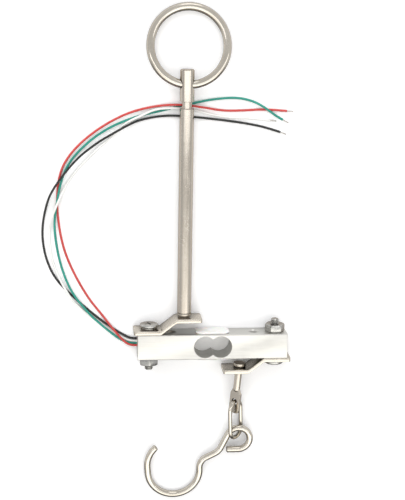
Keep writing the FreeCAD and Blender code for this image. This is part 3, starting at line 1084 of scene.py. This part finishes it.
@dataclass(frozen=True)
class GaugeCover:
    """A pad of white silicone smeared over two strain gauges."""

    node: str
    name: str
    side: float
    smear_m: float
    length_mm: float = 17.2
    width_mm: float = 10.7
    height_mm: float = 0.9
    sunk_mm: float = 0.05
    corner_mm: float = 3.6
    corner_steps: int = 8
    rim_mm: float = 0.45
    rim_steps: int = 4
    rim_sharp_deg: float = 50.0
    voxel_mm: float = 0.16
    smooth_rounds: int = 8
    uneven_mm: float = 0.3
    uneven_middle: float = 0.6

    def build(self) -> None:
        """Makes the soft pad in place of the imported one."""
        pad = fresh(self.name, bpy.ops.mesh.primitive_plane_add, size=1.0)
        rise = (0.0, 0.0, self.height_mm * MM)
        with shaping(pad):
            bpy.ops.transform.resize(value=(self.length_mm * MM, self.width_mm * MM, 1.0))
            bpy.ops.mesh.bevel(affect="VERTICES", offset=self.corner_mm * MM,
                               segments=self.corner_steps)
            bpy.ops.mesh.select_all(action="SELECT")
            bpy.ops.mesh.extrude_region_move(TRANSFORM_OT_translate={"value": rise})
            bpy.ops.mesh.select_all(action="SELECT")
            bpy.ops.mesh.normals_make_consistent(inside=False)
        self._soften(pad)
        place_mm = (0.0, self.side * (HALF_BAR_MM - self.sunk_mm), HALF_BAR_MM)
        set_in_place(pad, place_mm, self.side, unit=1.0)
        stand_in(pad, self.node)

    def _soften(self, pad: Piece) -> None:
        """Rounds the pad's rim and makes its skin a little uneven, as spread by hand.

        Args:
            pad: The flat pad, lying in the plane of X and Y.
        """
        ease_edges(pad, self.rim_mm * MM, self.rim_steps, self.rim_sharp_deg)
        even = pad.modifiers.new("even", "REMESH")
        even.mode = "VOXEL"
        even.voxel_size = self.voxel_mm * MM
        soft = pad.modifiers.new("soft", "SMOOTH")
        soft.iterations = self.smooth_rounds
        cloud = bpy.data.textures.new(f"{self.name}_smear", "CLOUDS")
        cloud.noise_scale = self.smear_m
        uneven = pad.modifiers.new("uneven", "DISPLACE")
        uneven.texture = cloud
        uneven.texture_coords = "LOCAL"
        uneven.strength = self.uneven_mm * MM
        uneven.mid_level = self.uneven_middle
        apply_modifiers(pad)


@dataclass(frozen=True)
class BenchCamera:
    """The camera that looks down on the part as it lies on the bench."""

    lens_mm: float = 86.4
    sensor_mm: float = 36.0
    nearest_m: float = 0.01
    place_m: Point = (-0.0655, 0.1770, 0.5820)
    turns_deg: Sequence[tuple[str, float]] = (("Y", -5.95), ("X", -12.54), ("Z", 0.97))

    def build(self) -> None:
        """Makes the scene's camera."""
        data = bpy.data.cameras.new("bench_camera")
        data.lens = self.lens_mm
        data.sensor_width = self.sensor_mm
        data.clip_start = self.nearest_m
        camera = placed(data)
        place = Matrix.Translation(self.place_m)
        for axis, angle in self.turns_deg:
            place @= Matrix.Rotation(math.radians(angle), 4, axis)
        camera.matrix_world = place
        bpy.context.scene.camera = camera


@dataclass(frozen=True)
class SoftBox:
    """One large soft lamp."""

    name: str
    place_m: Point
    aim_m: Point
    size_m: tuple[float, float]
    power_w: float
    mirrored: bool = True

    def build(self) -> None:
        """Makes the lamp and turns it to its aim."""
        data = bpy.data.lights.new(self.name, "AREA")
        data.shape = "RECTANGLE"
        data.size, data.size_y = self.size_m
        data.energy = self.power_w
        lamp = placed(data)
        lamp.visible_glossy = self.mirrored
        back = (Vector(self.place_m) - Vector(self.aim_m)).normalized()
        across = (Vector((1.0, 0.0, 0.0)) - back * back.x).normalized()
        turn = Matrix((across, back.cross(across), back)).transposed().to_4x4()
        lamp.matrix_world = Matrix.Translation(self.place_m) @ turn


@dataclass(frozen=True)
class Zone:
    """A soft-edged patch of the room, told by direction.

    Each limit names an axis, where along it a change starts and ends, and the values there.
    """

    limits: Sequence[tuple[str, float, float, float, float]]

    def mask(self, sheet: NodeSheet, way: bpy.types.NodeOutputs) -> Socket:
        """Adds the mask of the patch to the room's sheet."""
        return sheet.product(*(sheet.spread(way[axis], *limit) for axis, *limit in self.limits))


@dataclass(frozen=True)
class Studio:
    """The pale bench, the soft lamps and the plain room around them."""

    floor_half_m: float = 8.0
    floor_colour: Colour = (0.80, 0.80, 0.80)
    floor_seen: Colour = (1.09, 1.09, 1.10)
    floor_back: float = 0.92
    floor_front: float = 0.22
    shade_reach_m: float = 0.04
    shade_limits: tuple[float, float] = (0.10, 0.65)
    shade_dim: float = 0.25
    white: Colour = (1.0, 1.0, 1.0)
    front_colour: Colour = (1.0, 0.98, 0.925)
    room_light: float = 0.64
    front_light: float = 1.46
    back_light: float = 1.9
    low_shade: float = 0.05
    high_front: Zone = Zone((("Z", 0.28, 0.50, 0.0, 1.0), ("Y", -0.18, -0.30, 0.0, 1.0),
                             ("Y", -0.66, -0.88, 1.0, 0.0), ("X", -0.88, -0.50, 0.0, 1.0),
                             ("X", 0.60, 0.95, 1.0, 0.4)))
    low_front: Zone = Zone((("Z", 0.28, 0.50, 1.0, 0.0), ("Y", -0.28, -0.46, 0.0, 1.0),
                            ("X", -0.9, -0.4, 0.5, 1.0)))
    far_back: Zone = Zone((("Y", 0.78, 0.90, 0.0, 1.0), ("Z", 0.06, 0.16, 0.0, 1.0),
                           ("X", 0.28, 0.40, 1.0, 0.0), ("X", -0.15, -0.05, 0.0, 1.0)))
    lower_half: Zone = Zone((("Z", 0.02, -0.04, 0.0, 1.0),))
    front_half: Zone = Zone((("Y", -0.10, -0.70, 0.0, 1.0),))
    lamps: Sequence[SoftBox] = (
        SoftBox("front_box", (0.14, -0.44, 0.78), (0.0, -0.05, 0.0), (1.00, 0.46), 0.8),
        SoftBox("overhead_box", (0.07, 0.07, 0.95), (0.07, 0.07, 0.0), (2.40, 0.18), 1.9),
        SoftBox("back_box", (-0.35, 0.90, 0.62), (0.0, 0.05, 0.0), (1.30, 0.60), 6.6,
                mirrored=False),
    )

    def build(self) -> None:
        """Makes the bench, the room's light and the lamps."""
        self._floor()
        self._room()
        for lamp in self.lamps:
            lamp.build()
            LOG.info("lamp %s", lamp.name)

    def _floor(self) -> None:
        """Makes the pale bench top, which lets mirrored rays through, dimmed near the part."""
        floor = fresh("bench_top", bpy.ops.mesh.primitive_plane_add, size=2 * self.floor_half_m)
        material = bpy.data.materials.new("bench_paper")
        material.use_nodes = True
        sheet = NodeSheet(material.node_tree)
        sheet.tree.nodes.clear()
        path = sheet.add("ShaderNodeLightPath").outputs
        colour = sheet.blend(path["Is Camera Ray"], self.floor_colour, self.floor_seen)
        paper = sheet.fill("ShaderNodeBsdfDiffuse", colour)
        shade = sheet.spread(sheet.openness(self.shade_reach_m), *self.shade_limits,
                             self.shade_dim, 1.0)
        clear = sheet.fill("ShaderNodeBsdfTransparent", shade)
        top = sheet.fill("ShaderNodeMixShader", path["Is Glossy Ray"], paper.outputs[0],
                         clear.outputs[0])
        sheet.feed(sheet.add("ShaderNodeOutputMaterial"), Surface=top.outputs[0])
        floor.data.materials.append(material)

    def _room(self) -> None:
        """Makes the room: bright high in front and far behind, dull low in front, bench below."""
        world = bpy.data.worlds.new("plain_room")
        bpy.context.scene.world = world
        world.use_nodes = True
        sheet = NodeSheet(world.node_tree)
        sheet.tree.nodes.clear()
        way = sheet.fill("ShaderNodeSeparateXYZ",
                         sheet.add("ShaderNodeTexCoord").outputs["Generated"]).outputs
        bright = self.high_front.mask(sheet, way)
        room = sheet.fade(bright, self.room_light, self.front_light)
        dull = sheet.fade(self.low_front.mask(sheet, way), 1.0, self.low_shade)
        room = sheet.math("MULTIPLY_ADD", self.far_back.mask(sheet, way),
                          self.back_light - self.room_light, sheet.product(room, dull))
        bench = sheet.fade(self.front_half.mask(sheet, way), self.floor_back, self.floor_front)
        room = sheet.fade(self.lower_half.mask(sheet, way), room, bench)
        seen = sheet.add("ShaderNodeLightPath").outputs["Is Camera Ray"]
        tint = sheet.blend(bright, self.white, self.front_colour)
        glow = sheet.feed(sheet.add("ShaderNodeBackground"),
                          Color=sheet.blend(seen, tint, self.white),
                          Strength=sheet.math("MAXIMUM", seen, room))
        sheet.feed(sheet.add("ShaderNodeOutputWorld"), Surface=glow.outputs[0])


@dataclass(frozen=True)
class SignalWire:
    """One loose insulated wire with its bare twisted tip."""

    colour: str
    length_mm: float
    route_mm: Sequence[tuple[float, ...]]
    bench_mm: float = 0.6
    diameter_mm: float = 1.1
    curve_order: int = 3
    curve_steps: int = 10
    round_steps: int = 5
    tip_length_mm: float = 3.4
    tip_turns: float = 0.9
    tip_steps: int = 20
    tip_sharp_deg: float = 50.0
    strand_mm: float = 0.17
    strand_ring_mm: float = 0.165
    strand_sides: int = 8
    outer_strands: int = 6

    def build(self) -> None:
        cord = self._cord()
        tip = self._tip()
        for piece, slot, node in ((cord, f"{self.colour}_insulation", f"wire_{self.colour}"),
                                  (tip, "tinned_copper", f"wire_tip_{self.colour}")):
            dress(piece, slot)
            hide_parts(node)
            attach(piece, Body.LOAD_CELL.value)
            LOG.info("wire piece %s", piece.name)

    def _places(self) -> list[Vector]:
        """Gives the route in metres, on the bench where a point names no height."""
        return [metres((*point, self.bench_mm)[:3]) for point in self.route_mm]

    def _cord(self) -> Piece:
        """Draws the insulated run as one smooth curve through the route.

        Returns:
            The curve object.
        """
        curve = bpy.data.curves.new(f"insulated_wire_{self.colour}", "CURVE")
        curve.dimensions = "3D"
        spline = curve.splines.new("NURBS")
        spline.points.add(len(self.route_mm) - 1)
        for point, place in zip(spline.points, self._places()):
            point.co = (*place, 1.0)
        spline.order_u = self.curve_order
        spline.use_endpoint_u = True
        curve.resolution_u = self.curve_steps
        curve.bevel_depth = self.diameter_mm * MM / 2
        curve.bevel_resolution = self.round_steps
        curve.use_fill_caps = True
        return placed(curve)

    def _tip(self) -> Piece:
        """Twists the bare strands and lays them on from the wire's end.

        Returns:
            The twisted tip.
        """
        strands = [self._strand(0.0, 0.0)]
        strands += [self._strand(self.strand_ring_mm, math.tau * place / self.outer_strands)
                    for place in range(self.outer_strands)]
        take_only(strands[0])
        for strand in strands:
            strand.select_set(True)
        bpy.ops.object.join()
        tip = bpy.context.object
        before, last = self._places()[-2:]
        away = (last - before).normalized()
        tip.rotation_euler = away.to_track_quat("Z", "Y").to_euler()
        tip.location = last - away * self.strand_mm * MM
        settle(tip)
        smooth(tip, self.tip_sharp_deg)
        return tip

    def _strand(self, ring_mm: float, turn: float) -> Piece:
        """Draws one strand as a twisted round bar.

        Args:
            ring_mm: Distance of the strand from the bundle's middle.
            turn: Where round the bundle it starts, in radians.

        Returns:
            The strand, along Z from the origin.
        """
        strand = fresh(f"bare_strands_{self.colour}", bpy.ops.mesh.primitive_circle_add,
                       vertices=self.strand_sides, radius=self.strand_mm * MM / 2)
        with shaping(strand):
            bpy.ops.transform.translate(value=(ring_mm * MM, 0.0, 0.0))
            bpy.ops.transform.rotate(value=-turn, orient_axis="Z", center_override=ORIGIN)
        return wound(strand, self.tip_steps, self.tip_length_mm * MM,
                     angle=math.tau * self.tip_turns, merge=STRAND_MERGE_M)


@dataclass(frozen=True)
class WireBundle:
    """The four signal wires that leave the bar's channel and lie on the bench."""

    name: str = "signal_wires"
    wires: Sequence[SignalWire] = (
        SignalWire("black", 224.4, (
            (-37.5, 1.6), (-40.5, 1.6), (-44.5, 3.7), (-49.0, 6.6), (-54.5, 10.5), (-61.5, 16.4),
            (-70.2, 24.4), (-78.5, 33.3), (-83.0, 44.5), (-84.4, 56.5), (-82.6, 68.0),
            (-79.2, 77.8, OVER_TWO), (-67.8, 92.6, OVER_TWO), (-57.5, 100.3),
            (-51.5, 104.2, LIFTED), (-43.0, 109.0, LIFTED), (-36.5, 111.9), (-24.0, 114.2),
            (-10.3, 113.4), (3.0, 112.0), (15.5, 110.4), (26.0, 108.3), (32.5, 106.1))),
        SignalWire("green", 226.9, (
            (-37.5, -1.0), (-41.0, -1.0), (-45.5, 0.8), (-50.5, 5.0, OVER_ONE),
            (-56.0, 9.8, OVER_ONE), (-61.2, 14.6, OVER_ONE), (-70.6, 26.6, OVER_ONE),
            (-75.8, 41.0), (-78.2, 56.0), (-77.9, 65.5, OVER_ONE), (-75.0, 81.5, OVER_ONE),
            (-70.6, 91.7), (-60.6, 101.9), (-50.0, 108.8), (-38.0, 113.5), (-26.0, 116.3),
            (-14.0, 119.2), (-2.0, 121.9), (9.5, 123.0), (17.0, 121.8), (22.6, 119.4, OVER_ONE),
            (27.2, 116.2, OVER_ONE), (30.6, 113.8), (33.6, 112.2))),
        SignalWire("red", 225.5, (
            (-37.5, -1.7, OVER_ONE), (-40.9, -1.7, OVER_ONE), (-43.9, 0.3, OVER_ONE),
            (-47.0, 3.9, OVER_ONE), (-50.6, 8.4, OVER_ONE), (-55.4, 14.6), (-61.5, 22.3),
            (-68.4, 34.5), (-73.4, 46.5), (-75.9, 58.5), (-76.9, 70.0), (-76.3, 81.0),
            (-73.6, 90.4), (-66.0, 100.0), (-54.5, 108.9), (-42.1, 115.3), (-31.0, 118.2),
            (-20.0, 119.6, OVER_ONE), (-7.5, 118.5, OVER_ONE), (3.5, 116.4), (14.0, 116.6),
            (25.0, 117.4), (35.5, 116.5))),
        SignalWire("white", 217.3, (
            (-37.5, 0.3), (-40.9, 0.3), (-44.6, 2.1), (-49.5, 5.2), (-54.5, 8.7), (-59.5, 12.4),
            (-63.5, 15.5), (-67.3, 19.2), (-69.9, 22.2, OVER_ONE), (-72.3, 26.2, OVER_ONE),
            (-75.0, 31.3, OVER_ONE), (-77.7, 37.0), (-79.7, 43.7), (-80.6, 52.0), (-80.4, 58.5),
            (-79.2, 65.0, OVER_THREE), (-75.5, 73.4, OVER_THREE), (-72.9, 78.6), (-70.6, 82.5),
            (-67.2, 87.2), (-62.3, 92.4), (-57.0, 97.6), (-51.6, 102.3), (-47.6, 106.0),
            (-44.6, 109.2), (-41.6, 111.4, OVER_ONE), (-36.0, 113.9, OVER_ONE),
            (-32.5, 115.7, OVER_ONE), (-28.6, 117.1, OVER_ONE), (-23.5, 117.7, OVER_ONE),
            (-18.6, 117.6, OVER_ONE), (-13.8, 117.3), (-8.8, 116.4), (-3.3, 114.9), (3.1, 113.7),
            (9.5, 113.2), (15.9, 112.9), (22.3, 112.5), (27.3, 111.9))),
    )

    def build(self) -> None:
        """Lays the four wires."""
        for wire in self.wires:
            wire.build()


def main() -> None:
    """Dresses the part, lays its wires and sets up the studio."""
    logging.basicConfig(level=logging.INFO, format="%(message)s")
    bpy.context.scene.view_settings.view_transform = "Standard"
    BenchCamera().build()
    dress_cad_nodes()
    mouths = [(x, y, HALF_BAR_MM) for x in (-SPARE_HOLE_MM, SPARE_HOLE_MM)
              for y in (-HALF_BAR_MM, HALF_BAR_MM)]
    for assembly in (
            EasedPiece("load_cell_bar", "spring_element", 0.25, sinks_mm=mouths),
            EasedPiece("upper_bracket", "upper_strip", 0.45),
            EasedPiece("lower_bracket", "lower_strip", 0.45),
            EasedPiece("upper_bracket_nut", "upper_hex_nut", 0.28, sharp_deg=25.0),
            EasedPiece("lower_bracket_nut", "lower_hex_nut", 0.28, sharp_deg=25.0),
            BracketScrew("upper_bracket_screw", "upper_threaded_screw", -BRACKET_HOLE_MM, 1.0),
            BracketScrew("lower_bracket_screw", "lower_threaded_screw", BRACKET_HOLE_MM, -1.0,
                         top_mm=10.5, head_height_mm=2.14),
            TappedThread("tapped_thread_left", -SPARE_HOLE_MM),
            TappedThread("tapped_thread_right", SPARE_HOLE_MM),
            GaugeCover("gauge_cover_top", "silicone_pad_top", 1.0, 0.0030),
            GaugeCover("gauge_cover_bottom", "silicone_pad_bottom", -1.0, 0.0034),
            WireBundle()):
        assembly.build()
        LOG.info("built %s", assembly.name)
    Studio().build()


if __name__ == "__main__":
    main()
